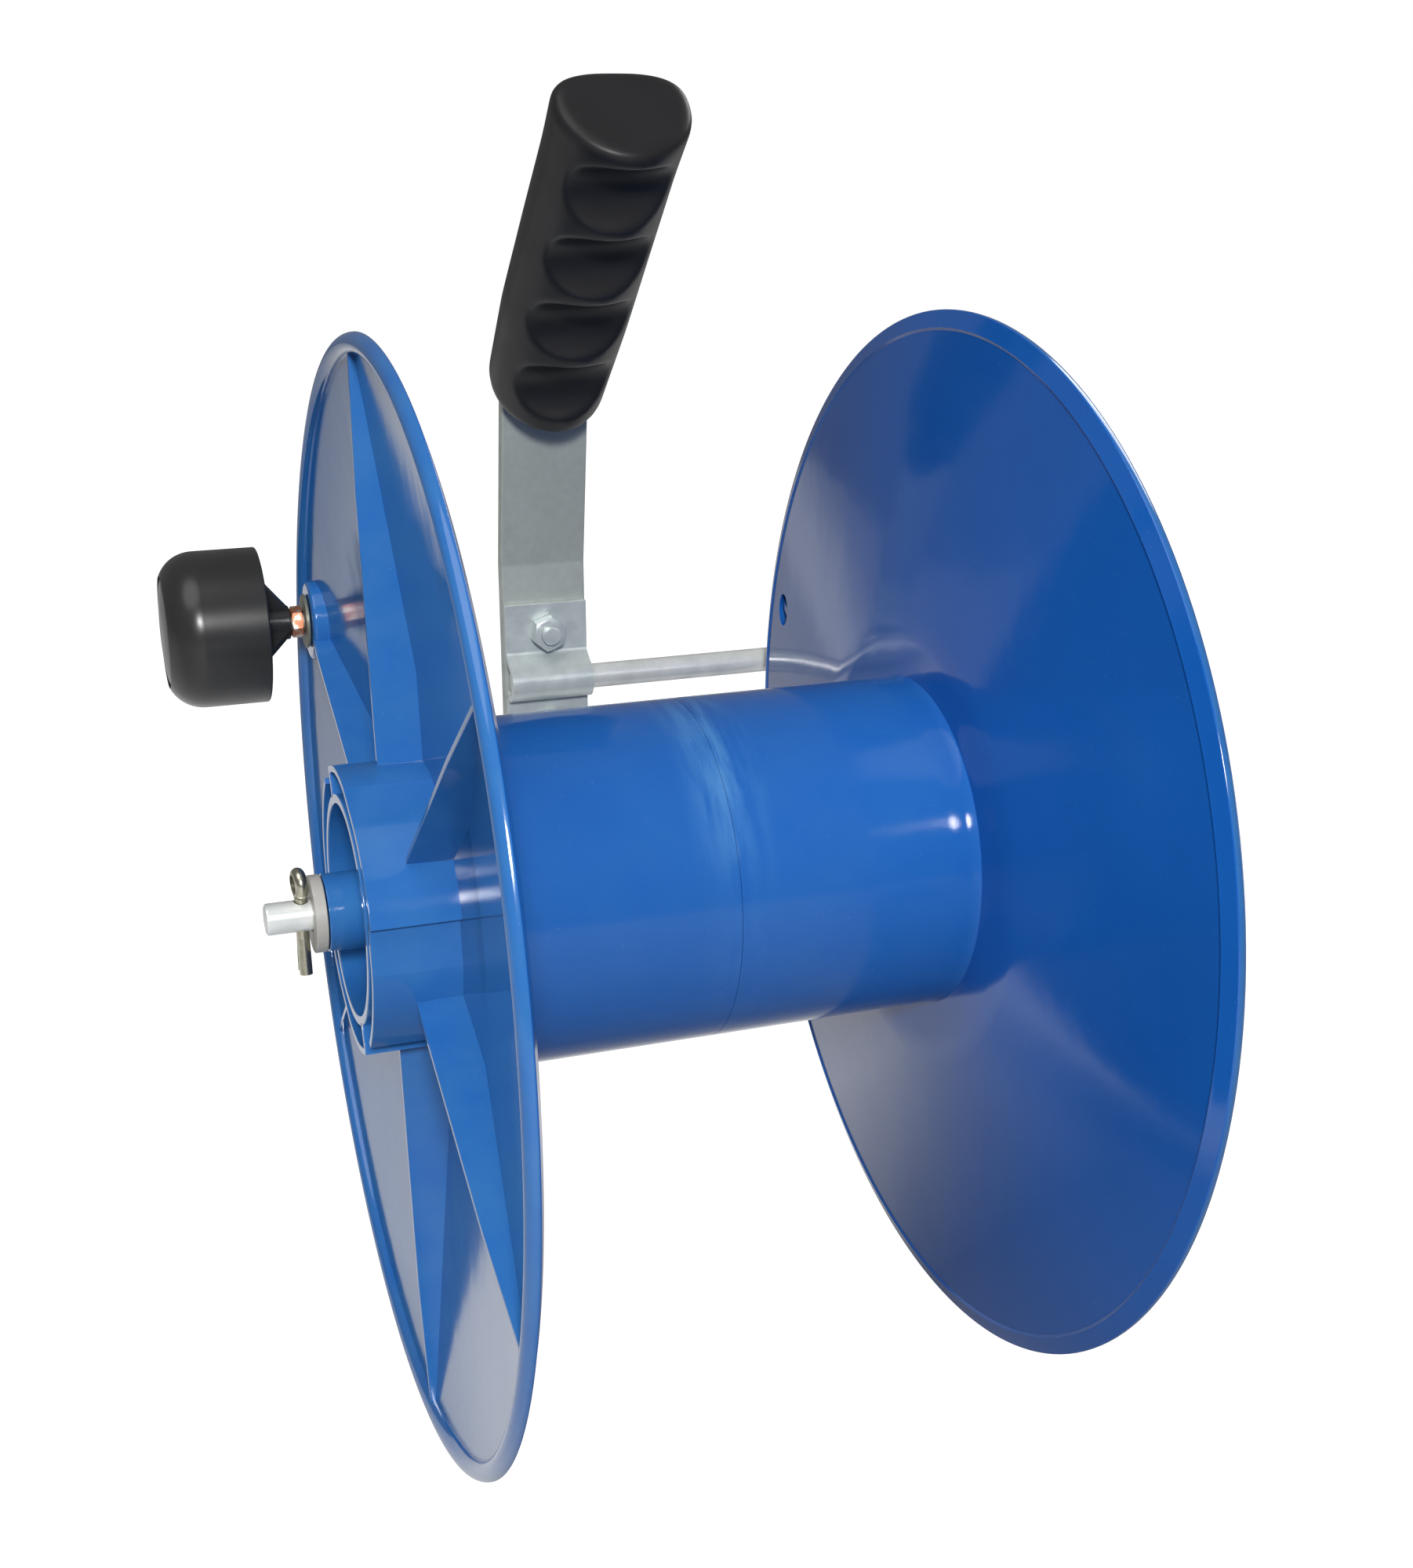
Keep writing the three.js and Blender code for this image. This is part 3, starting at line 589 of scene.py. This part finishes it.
def grip():
    length, end_round, neck, voxel, smoothings = 121, 3, 3.7, 0.7, 14
    # Share of the length, half width, depth to the fingers' side, depth to the palm's side
    sections = [
        (0, 17.7, 18.6, 14.9),
        (0.3, 18.9, 17, 15.2),
        (0.6, 18.6, 17.6, 14.5),
        (0.85, 18.4, 18.2, 12.9),
        (1, 18.9, 18.6, 11.9),
    ]
    finger_power, palm_power = 1.92, 2.82

    def section(height):
        share = height / length
        upper = next(i for i, line in enumerate(sections) if i and line[0] >= share - 1e-6)
        (start, *lows), (stop, *highs) = sections[upper - 1], sections[upper]
        along = (share - start) / (stop - start)
        return [a + along * (b - a) for a, b in zip(lows, highs)]

    bm = bmesh.new()
    bmesh.ops.create_circle(bm, segments=72, radius=1, cap_ends=True)
    end = bm.edges[:]
    rings = 24
    for _ in range(rings):
        end = draw_on(bm, end, (0, 0, length / rings))
    close_ends(bm)
    for corner in bm.verts:
        x, y, height = corner.co
        width, fingers, palm = section(height)
        depth, power = (palm, palm_power) if y > 0 else (fingers, finger_power)
        corner.co.x = math.copysign(width * abs(x) ** (2 / power), x)
        corner.co.y = math.copysign(depth * abs(y) ** (2 / power), y)
    soften(bm, sharp_edges(bm, 60), end_round, 5)
    slot = bmesh.new()
    slot_half_width, slot_half_thickness, slot_depth = 14.1, 2.8, 102.3
    bmesh.ops.create_cube(slot, size=2)
    size = (slot_half_width, slot_half_thickness, slot_depth)
    bmesh.ops.scale(slot, vec=size, verts=slot.verts)
    bm = carved(bm, slot)
    first_scoop, scoop_pitch, scoop_half_length, scoop_depth = 17.4, 27.9, 12, 7.6
    radius = (scoop_half_length ** 2 + scoop_depth ** 2) / (2 * scoop_depth)
    right_across = 80
    for scoop in range(4):
        height = length - first_scoop - scoop_pitch * scoop
        dent = bmesh.new()
        bmesh.ops.create_cone(
            dent, cap_ends=True, segments=64, radius1=radius, radius2=radius,
            depth=right_across,
            matrix=Matrix.Translation((0, scoop_depth - section(height)[1] - radius, height))
            @ Matrix.Rotation(math.pi / 2, 4, "Y"),
        )
        bm = carved(bm, dent)
    bm = worked(bm, ("REMESH", {"mode": "VOXEL", "voxel_size": voxel}))
    for _ in range(smoothings):
        bmesh.ops.smooth_vert(
            bm, verts=bm.verts, factor=0.5, use_axis_x=True, use_axis_y=True, use_axis_z=True
        )
    leant, sloped = (Matrix.Rotation(math.radians(angle), 3, "X") for angle in (lean, grip_slope))
    bmesh.ops.rotate(bm, verts=bm.verts, matrix=sloped)
    up = Vector((0, 0, 1))
    foot = Vector(strap_start) + upright * up + leant @ (leaning * up) + sloped @ (neck * up)
    bmesh.ops.translate(bm, vec=foot, verts=bm.verts)
    return bm


black = new_finish("black_grip_plastic")
worn = black.noise(55, 3)
grain = black.noise(2400, 2)
black.set({
    "Base Color": black.mix(worn, (0.010, 0.010, 0.011, 1), (0.022, 0.022, 0.024, 1)),
    "Roughness": black.ramp(worn, (0.3, 0.42), (0.7, 0.32)),
    "Specular IOR Level": 0.25,
})
black.bump(grain * 0.3 + worn, 0.00004)
finished(grip(), "hand_grip", black, "frame", 80)

# Spool: two like mouldings in glossy blue plastic, each half a drum with a dished flange, a
# lipped rim, six ribs, a hub with a stepped wall, a ring and a bearing tube, and a knob boss.
# Both are drawn along Z from the seam with the boss at angle 0, then set down on their sides.

seam = (span("spool_half_crank")[0][0] + span("spool_half_frame")[1][0]) / 2
rim_radius = span("spool_half_crank")[1][2]
half_height = seam - span("spool_half_crank")[0][0]
drum_radius, drum_end, disc_face, rim_height, cone_start, lip = 44.4, 64, 67, 76.2, 58, 2.6
cone_end = rim_radius - 2 * lip
knob_orbit = math.hypot(*middle("knob_fixing_washer")[1:])
crank_turn, frame_turn = -22, 17


def flange_and_drum():
    inside, bearing, bearing_end, bore = 41.4, 9.7, 40, 4.3
    seam_gap, flare, flare_start, edge, lip_round = 0.05, 0.4, 62.4, 74.7, lip - 0.05
    groove, groove_depth, bead = 0.7, 0.4, 1.7
    outline = [
        (bore, bearing_end), (bearing, bearing_end), (bearing, drum_end), (inside, drum_end),
        (inside, seam_gap), (drum_radius, seam_gap, 0.06), (drum_radius, flare_start, 1.5),
        (drum_radius + flare, drum_end), (cone_start, drum_end, 4), (cone_end, edge),
        (cone_end + groove, edge - groove_depth), (cone_end + bead, edge),
        (rim_radius, rim_height - 0.3, 0.3), (rim_radius, rim_height + lip, lip_round),
        (cone_end, rim_height + lip, lip_round), (cone_end, rim_height, 0.8),
        (cone_start, disc_face), (bearing, disc_face), (bearing, half_height, 0.3),
        (bore, half_height, 0.3),
    ]
    hole, hole_radius, hole_middle, hole_depth = bmesh.new(), 5.05, 70, 40
    bmesh.ops.create_cone(
        hole, cap_ends=True, segments=32, radius1=hole_radius, radius2=hole_radius,
        depth=hole_depth, matrix=Matrix.Translation((knob_orbit, 0, hole_middle)),
    )
    return carved(turned(outline, steps=192, radius_steps=8), hole)


def hub():
    """A ring, and round it a thin wall in two like stretches, each with steps and an open end."""
    tip, wall, phase, ring, ring_wall = 36.2, 1.7, 143.5, 29, 2.4
    sink, proud, bend_round, brim_round = 1, 9.8, 0.35, 0.2
    root, end = disc_face - sink, rim_height + lip + proud
    # Degrees past the step, radius, and how many points bend the wall on its way there
    route = (
        (-101.5, ring, 0), (-101.5, tip, 0), (-87.5, 36, 4), (-64.5, 34.8, 7), (-45, 34.2, 0),
        (0, tip, 14), (0.6, 33.7, 0), (21, 34.4, 0), (62, tip, 13),
    )
    walls = bmesh.new()
    for half_turn in (0, 180):
        stops = [route[0][:2]]
        for turn, radius, bends in route[1:]:
            last = Vector(stops[-1])
            for k in range(1, bends + 2):
                stops.append(last.lerp(Vector((turn, radius)), k / (bends + 1)))
        corners = []
        for turn, radius in stops:
            angle = math.radians(-phase - half_turn - turn)
            place = Vector((math.cos(angle), math.sin(angle), 0)) * (radius - wall / 2)
            corners.append(walls.verts.new(place + Vector((0, 0, root))))
        for pair in zip(corners, corners[1:]):
            walls.edges.new(pair)
    draw_on(walls, walls.edges[:], (0, 0, end - root))
    bmesh.ops.recalc_face_normals(walls, faces=walls.faces)
    walls = worked(walls, ("SOLIDIFY", {"thickness": wall, "offset": 0, "use_even_offset": True}))
    tidy(walls)
    faint, sharp = 6.5, math.radians(40)
    creases = [
        e for e in sharp_edges(walls, faint)
        if e.calc_face_angle(0) < sharp and abs(e.verts[0].co.z - e.verts[1].co.z) > 1
    ]
    soften(walls, creases, bend_round)
    brim = [e for e in sharp_edges(walls, 60) if min(v.co.z for v in e.verts) > end - 0.1]
    soften(walls, brim, brim_round)
    inside = ring - ring_wall
    outline = [(inside, root), (ring, root), (ring, end, 0.3), (inside, end, 0.3)]
    return joined(walls, turned(outline, steps=96))


def rib(angle):
    """A blade on the flange, from the hub's wall to the rim's lip, thinner at its free edge."""
    start, plane, sink, rim_sink, break_radius = 34.4, 78.3, 1, 0.75, 102
    thickness, edge_share, edge_round, free = 2.2, 0.62, 0.2, rim_height + 0.1
    bm = bmesh.new()
    outline = (
        (start, disc_face - sink), (cone_start, disc_face - sink),
        (cone_end, rim_height - rim_sink), (rim_radius - lip, rim_height),
        (rim_radius - 1.5 * lip, rim_height + lip / 2), (break_radius, plane), (start, plane),
    )
    side = bmesh.ops.contextual_create(
        bm, geom=[bm.verts.new((radius, -thickness / 2, height)) for radius, height in outline]
    )["faces"]
    grown = bmesh.ops.extrude_face_region(bm, geom=side, use_keep_orig=True)["geom"]
    bmesh.ops.translate(bm, vec=(0, thickness, 0), verts=only(bmesh.types.BMVert, grown))
    tidy(bm)
    for corner in bm.verts:
        if corner.co.z > free:
            corner.co.y *= edge_share
    edge = [e for e in bm.edges if min(v.co.z for v in e.verts) > free]
    lengthwise = [e for e in edge if abs(e.verts[0].co.y - e.verts[1].co.y) < 0.1]
    soften(bm, lengthwise, edge_round)
    bmesh.ops.rotate(bm, verts=bm.verts, matrix=Matrix.Rotation(math.radians(angle), 3, "Z"))
    return bm


def boss():
    """The stand for the knob's bolt, with the pocket that holds the bolt's head behind it."""
    radius, bore, pocket, foot, clearance, head_room = 11.5, 2.8, 5, 60, 0.3, 3.8
    top = seam - span("knob_fixing_washer")[1][0] - clearance
    floor = seam - span("knob_bolt")[1][0] + head_room
    outline = [
        (pocket, foot), (radius, foot), (radius, top, 1.2), (bore, top, 0.4), (bore, floor),
        (pocket, floor),
    ]
    bm = turned(outline, steps=64)
    bmesh.ops.translate(bm, vec=(knob_orbit, 0, 0), verts=bm.verts)
    slope, sink = (rim_height - disc_face) / (cone_end - cone_start), 0.9
    for corner in bm.verts:
        if corner.co.z < foot + 1:
            out = math.hypot(corner.co.x, corner.co.y) - cone_start
            corner.co.z = disc_face - sink + slope * out
    return bm


def tab(angle):
    """A tongue inside the drum that reaches past the seam into the other moulding."""
    bm = bmesh.new()
    inner, outer, wall, reach, gap, turn = 38.3, 41.1, 42.9, 8, 0.3, 36
    outline = (
        (inner, -reach), (outer, -reach), (outer, gap), (wall, gap), (wall, reach), (inner, reach)
    )
    side = bmesh.ops.contextual_create(
        bm, geom=[bm.verts.new((radius, 0, height)) for radius, height in outline]
    )["faces"]
    bmesh.ops.rotate(
        bm, verts=bm.verts, matrix=Matrix.Rotation(math.radians(angle - turn / 2), 3, "Z")
    )
    bmesh.ops.spin(
        bm, geom=side, cent=(0, 0, 0), axis=(0, 0, 1), dvec=(0, 0, 0),
        angle=math.radians(turn), steps=6, use_merge=False,
    )
    return bm


def half():
    first_tab = 32.5
    ribs = [rib(60 * k) for k in range(6)]
    tabs = [tab(first_tab + 120 * k) for k in range(3)]
    return joined(flange_and_drum(), hub(), boss(), *ribs, *tabs)


def outward(side):
    """From a frame whose Z runs out along the axle from the seam to the reel's own frame."""
    columns = ((0, 1, 0), (0, 0, side), (side, 0, 0))
    return Matrix.Translation((seam, 0, 0)) @ Matrix(columns).transposed().to_4x4()


blue = new_finish("blue_plastic")
cloud = blue.noise(22, 3)
skin = blue.noise(1500, 2)
speck = blue.noise(1900, 1) > 0.77
place = blue.node("TexCoord", {}, {}, "Object")
along, back, up = (blue.node("SeparateXYZ", {}, {"Vector": place}, axis) for axis in "XYZ")
from_seam = (along - seam / 1000).math("ABSOLUTE")
from_axle = (back * back + up * up).math("SQRT")
dish = (from_axle - cone_start / 1000) * ((rim_height - disc_face) / (cone_end - cone_start))
outside = from_seam - dish * (dish > 0) > (disc_face - 0.7) / 1000
on_drum = (from_axle < (drum_radius + 1.6) / 1000) * (from_seam < (drum_end - 0.2) / 1000)
body_colour = blue.mix(cloud, (0.006, 0.088, 0.375, 1), (0.011, 0.115, 0.445, 1))
patches = blue.ramp(blue.noise(75, 4), (0.30, 0.45), (0.70, 0.85))
# Painted light and sheen, with some dust: a lighter, greyer blue in patches lifts the outer faces
# and, fainter, the drum
dust_and_sheen = (outside + on_drum * 0.35) * patches
body_colour = blue.mix(dust_and_sheen, body_colour, (0.036, 0.160, 0.410, 1))
beside_seam = blue.ramp(from_seam, (0.001, 1), (0.011, 0))
streaks = blue.ramp(blue.noise(70, 4, (4, 0.6, 0.6)), (0.40, 0), (0.62, 1))
scuffed = beside_seam * streaks * blue.ramp(up, (0.010, 0.15), (0.032, 1))
body_colour = blue.mix(scuffed * 0.55, body_colour, (0.10, 0.30, 0.58, 1))
blue.set({
    "Base Color": blue.mix(speck * 0.18, body_colour, (0.35, 0.50, 0.75, 1)),
    "Roughness": blue.ramp(cloud * 0.7 + skin * 0.3, (0.3, 0.08), (0.7, 0.14)) + scuffed * 0.3,
    "IOR": 1.5,
})
blue.bump(skin * 0.02 + cloud, 0.0003)

for name, side, turn in (("crank", -1, crank_turn), ("frame", 1, frame_turn)):
    moulding = half()
    place = outward(side) @ Matrix.Rotation(math.radians(turn), 4, "Z")
    bmesh.ops.transform(moulding, matrix=place, verts=moulding.verts)
    finished(moulding, "spool_half_" + name, blue, "spool", 30)

# Tie bolts: three M5 bolts run the length of the drum, inside it, and draw the two mouldings
# together. Their heads are on the crank side and their nuts on the frame side.

M5 = {"flats": 8, "head": 3.5, "radius": 2.5, "pitch": 0.8, "bore": 2.3}
for which, bolt_roll, nut_roll in ((1, 17, 23), (2, 34, 46), (3, 51, 69)):
    low, high = span(f"tie_bolt_{which}")
    _, y, z = middle(f"tie_bolt_{which}")
    bolt = laid(hexagon_bolt(M5, high[0] - low[0], 8), (1, 0, 0), (low[0], y, z), bolt_roll)
    finished(bolt, f"tie_bolt_{which}", zinc, "spool")
    low, high = span(f"tie_nut_{which}")
    nut = laid(hexagon_nut(M5, high[0] - low[0]), (1, 0, 0), (low[0], y, z), nut_roll)
    finished(nut, f"tie_nut_{which}", zinc, "spool")

# Axle washers: a pale nylon ring on the axle at each end of the spool, turned from bar.

nylon = new_finish("nylon")
milky = nylon.noise(160, 3)
nylon.set({
    "Base Color": nylon.mix(milky, (0.36, 0.35, 0.32, 1), (0.47, 0.46, 0.43, 1)),
    "Roughness": nylon.ramp(milky, (0.3, 0.50), (0.7, 0.36)),
})
nylon.bump(milky, 0.00005)
for name in ("axle_washer_crank", "axle_washer_frame"):
    low, high = span(name)
    bore, radius, thick, edge = 4.3, high[2], high[0] - low[0], 0.35
    outline = [(bore, 0, edge), (radius, 0, edge), (radius, thick, edge), (bore, thick, edge)]
    washer = turned(outline, steps=64)
    laid(washer, (1, 0, 0), (low[0], 0, 0))
    finished(washer, name, nylon, "frame")

# Split pins: half-round wire, yellow zinc plated, doubled over into an eye, pushed down
# through the axle outside each washer, and its two legs spread below.


def split_pin(sway, twist):
    wire, eye, throat, elbow, spread, leg = 1.6, 2.5, 1.9, 3, 9, 9.2
    split, eye_height, half_gap = -5.6, 8.4, 0.03
    across = (1, 0, 0)
    bm = bmesh.new()
    bmesh.ops.create_circle(bm, segments=24, radius=wire)
    bmesh.ops.bisect_plane(
        bm, geom=bm.verts[:] + bm.edges[:], dist=0.0001, plane_co=(0, 0, 0),
        plane_no=(0, -1, 0), clear_outer=True,
    )
    bm.edges.new([corner for corner in bm.verts if abs(corner.co.y) < 0.001])
    bmesh.ops.translate(bm, vec=(0, half_gap, split), verts=bm.verts)
    tilt = Matrix.Rotation(math.radians(spread), 3, "X")
    hinge = Vector((0, half_gap + elbow, split))
    bmesh.ops.rotate(bm, verts=bm.verts, cent=hinge, matrix=tilt)
    rise = tilt @ Vector((0, 0, leg))
    bmesh.ops.translate(bm, vec=-rise, verts=bm.verts)
    swing = math.degrees(math.acos((throat + half_gap) / (throat + eye)))
    throat_height = eye_height - math.sqrt((throat + eye) ** 2 - (throat + half_gap) ** 2)
    end = draw_on(bm, bm.edges[:], rise)
    end = bend_on(bm, end, hinge, across, -spread, 3)
    end = draw_on(bm, end, (0, 0, throat_height - split))
    end = bend_on(bm, end, (0, throat + half_gap, throat_height), across, -swing, 6)
    end = bend_on(bm, end, (0, 0, eye_height), across, 180 + 2 * swing, 30)
    end = bend_on(bm, end, (0, -throat - half_gap, throat_height), across, -swing, 6)
    end = draw_on(bm, end, (0, 0, split - throat_height))
    end = bend_on(bm, end, (0, -hinge[1], split), across, -spread, 3)
    draw_on(bm, end, tilt.inverted() @ Vector((0, 0, -leg)))
    close_ends(bm)
    head = [corner for corner in bm.verts if corner.co.z > throat_height - 0.1]
    for angle, axis in ((sway, "Y"), (twist, "Z")):
        bmesh.ops.rotate(
            bm, verts=head, cent=(0, 0, throat_height),
            matrix=Matrix.Rotation(math.radians(angle), 3, axis),
        )
    return bm


yellow_zinc = new_finish("yellow_zinc_steel")
tarnish = yellow_zinc.noise(420, 3)
yellow_zinc.set({
    "Base Color": yellow_zinc.mix(tarnish, (0.38, 0.36, 0.25, 1), (0.62, 0.61, 0.52, 1)),
    "Metallic": 0.95,
    "Roughness": yellow_zinc.ramp(tarnish, (0.3, 0.32), (0.7, 0.20)),
})
for side, sway, twist in (("crank", -2, 7), ("frame", 8, -7)):
    pin = split_pin(sway, twist)
    bmesh.ops.translate(pin, vec=(middle("split_pin_" + side)[0], 0, 0), verts=pin.verts)
    finished(pin, "split_pin_" + side, yellow_zinc, "frame")

# Knob's bolt: an M5 bolt held in the boss's pocket, with a washer and a copper-plated nut
# that fix it to the flange, and a washer and nut in the knob that keep the knob on it.

low, high = span("knob_bolt")
knob_centre = middle("knob_fixing_washer")
bolt_roll, nut_roll = 10, 12
bolt = hexagon_bolt(M5, high[0] - low[0], 9)
laid(bolt, (-1, 0, 0), (high[0], *knob_centre[1:]), bolt_roll)
finished(bolt, "knob_bolt", zinc, "spool")

# The washers are a dark grey-green zinc with a mottled tone
dull_zinc = new_finish("dull_zinc_steel")
mottle = dull_zinc.noise(300, 3)
dull_zinc.set({
    "Base Color": dull_zinc.mix(mottle, (0.12, 0.13, 0.10, 1), (0.26, 0.27, 0.23, 1)),
    "Metallic": 0.4,
    "Roughness": dull_zinc.ramp(mottle, (0.3, 0.55), (0.7, 0.42)),
})
for name in ("knob_fixing_washer", "knob_lock_washer"):
    low, high = span(name)
    bore, radius, thick, edge = 2.8, (high[2] - low[2]) / 2, high[0] - low[0], 0.2
    outline = [(bore, 0), (radius, 0, edge), (radius, thick, edge), (bore, thick)]
    washer = turned(outline)
    laid(washer, (1, 0, 0), (low[0], *knob_centre[1:]))
    finished(washer, name, dull_zinc, "spool")

copper = new_finish("copper_plated_steel")
rub = copper.noise(330, 3)
worn_off = copper.ramp(rub, (0.50, 0), (0.56, 1))
copper.set({
    "Base Color": copper.mix(worn_off, (0.42, 0.17, 0.09, 1), (0.60, 0.50, 0.42, 1)),
    "Metallic": 0.7,
    "Roughness": copper.ramp(rub, (0.3, 0.50), (0.7, 0.40)),
})
for name, finish, slot in (
    ("knob_fixing_nut", copper, "copper_plated_steel"),
    ("knob_lock_nut", zinc, "zinc_steel"),
):
    low, high = span(name)
    nut = hexagon_nut(M5, high[0] - low[0])
    laid(nut, (1, 0, 0), (low[0], *knob_centre[1:]), nut_roll)
    finished(nut, name, finish, "spool")

# Knob: a round shell of glossy charcoal plastic, open towards the reel, with a slim neck on
# four fins. It turns freely on its bolt. A domed cap closes the well over the lock nut.

knob_low, knob_high = span("knob_body")
cap_low, cap_high = span("knob_end_cap")
cap_seat, cap_thick = (cap_high[2] - cap_low[2]) / 2, cap_high[0] - cap_low[0]


def knob():
    """The shell and its fins along Z, from the neck's tip to the end that the cap closes."""
    radius, end = (knob_high[2] - knob_low[2]) / 2, knob_high[0] - cap_low[0]
    bore, neck, neck_root, wall, web = 2.8, 4.9, 6.4, 2.5, 3
    rim, floor, shoulder = 8, 25.8, 10.5
    inside = radius - wall
    shell = turned([
        (bore, 0), (neck, 0, 0.4), (neck_root, floor - web), (inside, floor - web),
        (inside, rim, 0.6), (radius, rim, 0.5), (radius, end, shoulder), (bore, end),
    ], 96, 12)
    well_radius, clearance, seat_depth, beyond = 12.4, 0.15, 2, 5
    seat = cap_seat + clearance
    well = turned([
        (0, floor), (well_radius, floor), (well_radius, end - seat_depth),
        (seat, end - seat_depth), (seat, end + beyond), (0, end + beyond),
    ], 96)
    shell = carved(shell, well)
    thick, fin_start, fin_tip, fin_rise = 1.8, 3.9, 0.3, 4.4
    fin_end = inside + wall / 2
    fin = (
        (fin_start, fin_tip), (neck, fin_tip), (fin_end, rim + fin_rise),
        (fin_end, floor - web / 2), (fin_start, floor - web / 2),
    )
    fins = []
    for k in range(4):
        bm = bmesh.new()
        side = bmesh.ops.contextual_create(
            bm, geom=[bm.verts.new((out, -thick / 2, height)) for out, height in fin]
        )["faces"]
        grown = bmesh.ops.extrude_face_region(bm, geom=side, use_keep_orig=True)["geom"]
        bmesh.ops.translate(bm, vec=(0, thick, 0), verts=only(bmesh.types.BMVert, grown))
        bmesh.ops.rotate(bm, verts=bm.verts, matrix=Matrix.Rotation(k * math.pi / 2, 3, "Z"))
        fins.append(bm)
    return joined(shell, *fins)


charcoal = new_finish("black_knob_plastic")
bloom = charcoal.noise(70, 3)
charcoal.set({
    "Base Color": charcoal.mix(bloom, (0.017, 0.017, 0.017, 1), (0.030, 0.030, 0.030, 1)),
    "Roughness": charcoal.ramp(bloom, (0.3, 0.32), (0.7, 0.26)),
    "Specular IOR Level": 0.4,
})
charcoal.bump(bloom, 0.00003)
knob_turn = Matrix.Rotation(math.radians(crank_turn), 4, "Z")
knob_place = Matrix.Translation(knob_centre) @ outward(-1).to_3x3().to_4x4() @ knob_turn
body = knob()
bmesh.ops.translate(body, vec=(0, 0, knob_centre[0] - knob_high[0]), verts=body.verts)
bmesh.ops.transform(body, matrix=knob_place, verts=body.verts)
finished(body, "knob_body", charcoal, "crank_knob")

dome = 0.9
cap = turned([
    (0, 0), (cap_seat, 0), (cap_seat, cap_thick - 2 * dome, 0.4),
    (cap_seat * 0.9, cap_thick - dome, 1.2), (cap_seat * 0.5, cap_thick - dome * 0.2, 3),
    (0, cap_thick),
], 96)
bmesh.ops.translate(cap, vec=(0, 0, knob_centre[0] - cap_high[0]), verts=cap.verts)
bmesh.ops.transform(cap, matrix=knob_place, verts=cap.verts)
finished(cap, "knob_end_cap", charcoal, "crank_knob")
